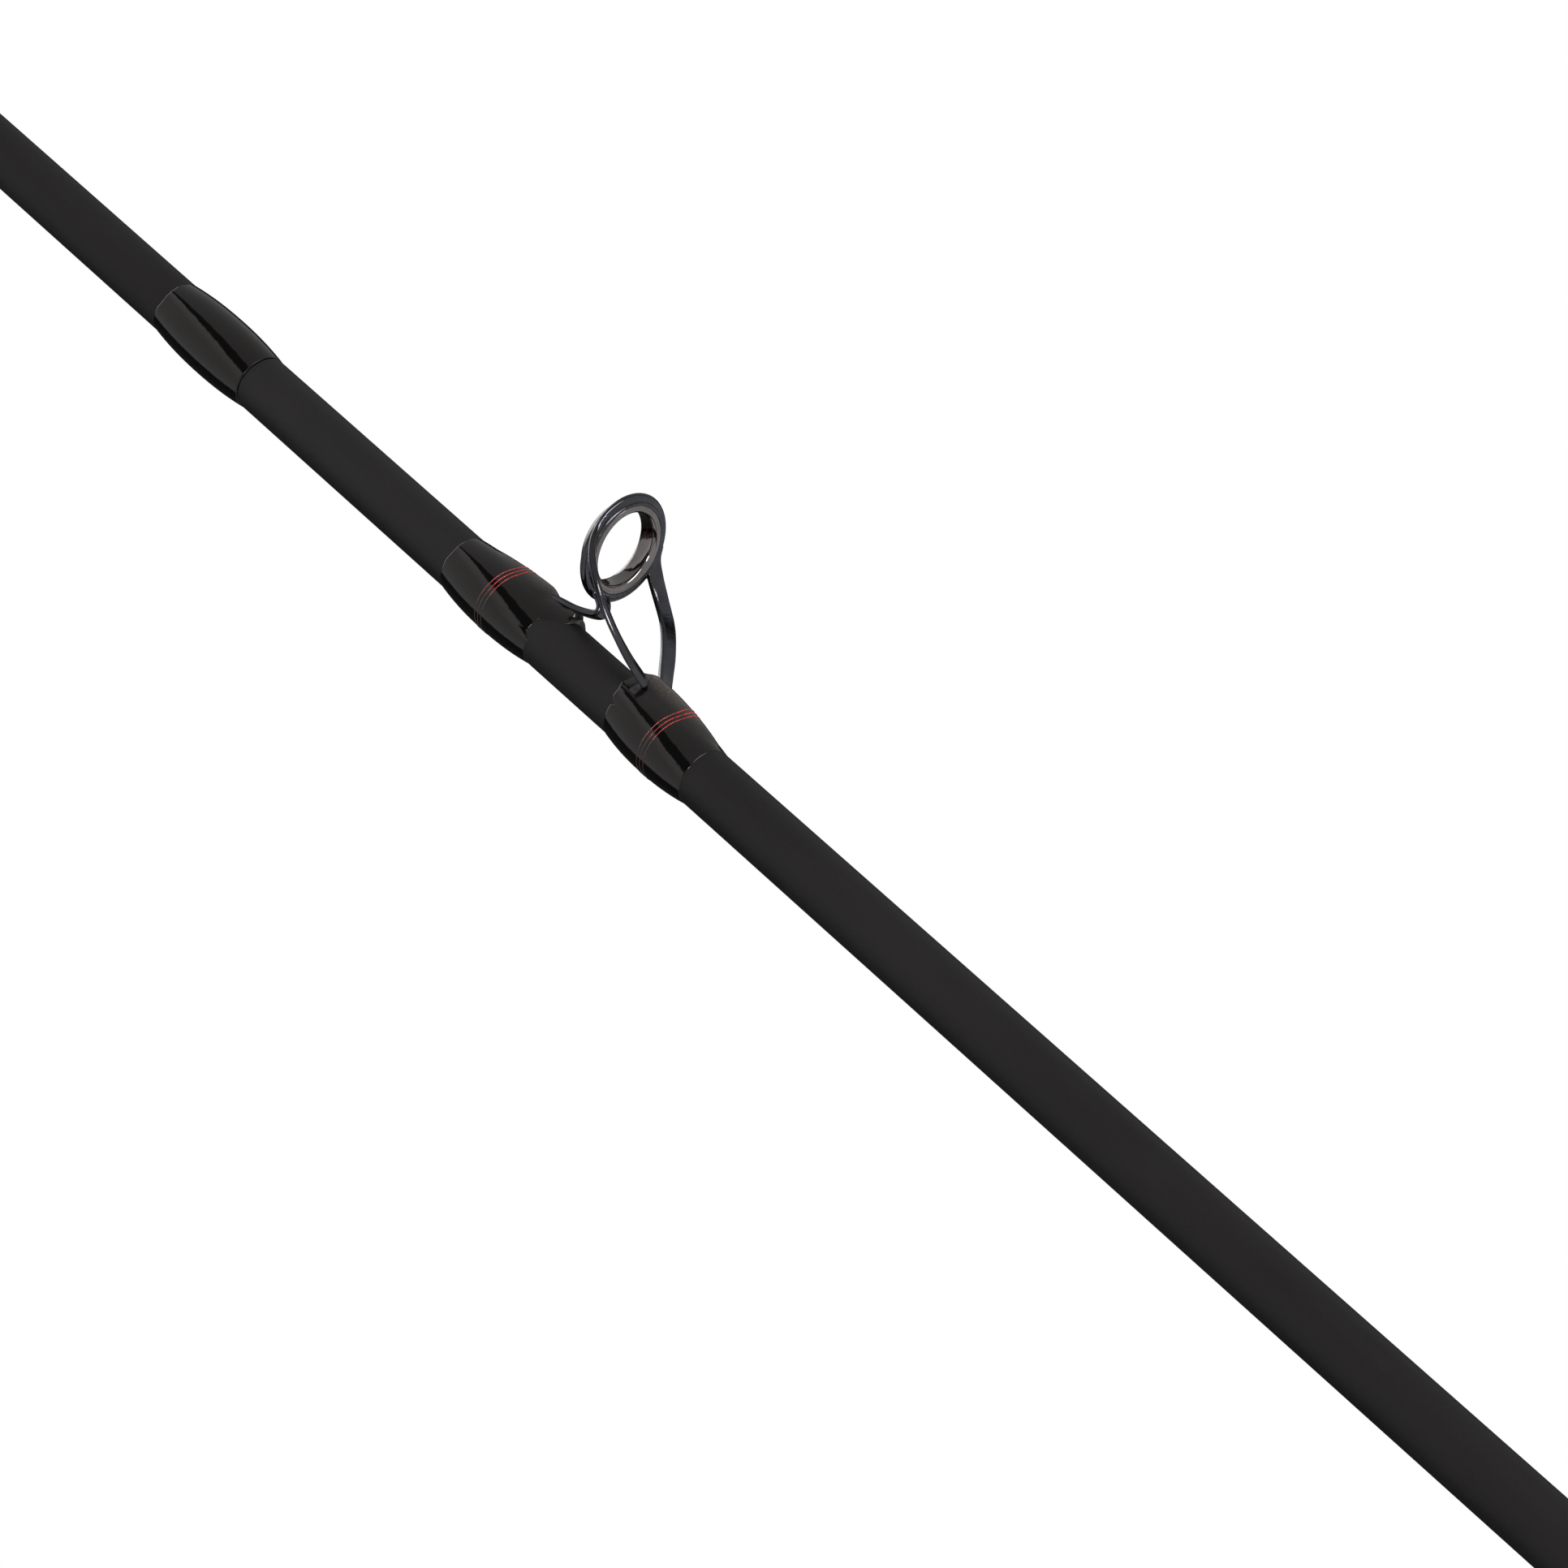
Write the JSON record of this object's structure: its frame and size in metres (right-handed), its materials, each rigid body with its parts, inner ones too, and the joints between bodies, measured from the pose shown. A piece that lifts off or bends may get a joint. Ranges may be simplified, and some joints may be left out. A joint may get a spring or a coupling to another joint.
{
  "type": "fishing rod",
  "caption": "Casting rod of two sections with a slip ferrule: foam handle, screw-locked reel seat, wrapped double-foot line guides and a tip-top, bare of reel and line.",
  "frame": {"origin": "centre of the butt cap's bottom face", "axes": "+Z from the butt to the tip, +X towards the guides and the reel"},
  "size_m": [0.0517, 0.03, 1.9765],
  "materials": {
    "blank": "matte charcoal carbon blank",
    "spigot": "ground glass-fibre spigot, dark",
    "thread": "black nylon whipping thread",
    "trim_thread": "red nylon trim thread",
    "epoxy": "high-gloss clear finish over black thread",
    "guide_metal": "polished black nickel",
    "ring_insert": "polished dark ring",
    "foam_grip": "fine-celled foam, matte black",
    "rubber_cap": "moulded rubber",
    "red_anodised": "red anodised, turned",
    "seat_plastic": "satin moulded graphite plastic",
    "arbor": "raw foam arbor",
    "hood_metal": "dark plated, satin",
    "nut_metal": "black anodised, fluted"
  },
  "bodies": {
    "butt_section": {"butt_blank": "blank", "ferrule_spigot": "spigot", "butt_cap": "rubber_cap", "rear_grip": "foam_grip", "rear_check": "red_anodised", "foregrip": "foam_grip", "fore_check": "red_anodised", "reel_seat_body": "seat_plastic", "seat_arbors": "arbor", "fixed_hood": "hood_metal", "hook_keeper": "guide_metal", "keeper_wrap": "thread", "keeper_coat": "epoxy", "guide_1_frame": "guide_metal", "guide_1_ring": "ring_insert", "guide_1_front_thread": "thread", "guide_1_front_trim": "trim_thread", "guide_1_front_coat": "epoxy", "guide_1_rear_thread": "thread", "guide_1_rear_trim": "trim_thread", "guide_1_rear_coat": "epoxy"},
    "tip_section": {"tip_blank": "blank", "ferrule_wrap": "thread", "ferrule_coat": "epoxy", "guide_2_frame": "guide_metal", "guide_2_ring": "ring_insert", "guide_2_thread": "thread", "guide_2_coat": "epoxy", "guide_3_frame": "guide_metal", "guide_3_ring": "ring_insert", "guide_3_thread": "thread", "guide_3_coat": "epoxy", "guide_4_frame": "guide_metal", "guide_4_ring": "ring_insert", "guide_4_thread": "thread", "guide_4_coat": "epoxy", "guide_5_frame": "guide_metal", "guide_5_ring": "ring_insert", "guide_5_thread": "thread", "guide_5_coat": "epoxy", "guide_6_frame": "guide_metal", "guide_6_ring": "ring_insert", "guide_6_thread": "thread", "guide_6_coat": "epoxy", "guide_7_frame": "guide_metal", "guide_7_ring": "ring_insert", "guide_7_thread": "thread", "guide_7_coat": "epoxy", "guide_8_frame": "guide_metal", "guide_8_ring": "ring_insert", "guide_8_thread": "thread", "guide_8_coat": "epoxy", "tip_top_frame": "guide_metal", "tip_top_ring": "ring_insert", "tip_top_thread": "thread", "tip_top_coat": "epoxy"},
    "sliding_hood": {"sliding_hood": "hood_metal"},
    "lock_nut": {"lock_nut": "nut_metal"}
  },
  "joints": [
    {"name": "ferrule_slide", "type": "slide", "parent": "butt_section", "child": "tip_section", "axis": [0, 0, 1], "range_m": [0, 0.065]},
    {"name": "hood_slide", "type": "slide", "parent": "butt_section", "child": "sliding_hood", "axis": [0, 0, -1], "range_m": [0, 0.015]},
    {"name": "nut_turn", "type": "hinge", "parent": "sliding_hood", "child": "lock_nut", "pos_m": [0, 0, 0.352], "axis": [0, 0, -1], "range_deg": [0, 2160]}
  ],
  "couplings": [
    {"joint": "hood_slide", "follows": "nut_turn", "m_per_rad": 0.00039789}
  ]
}
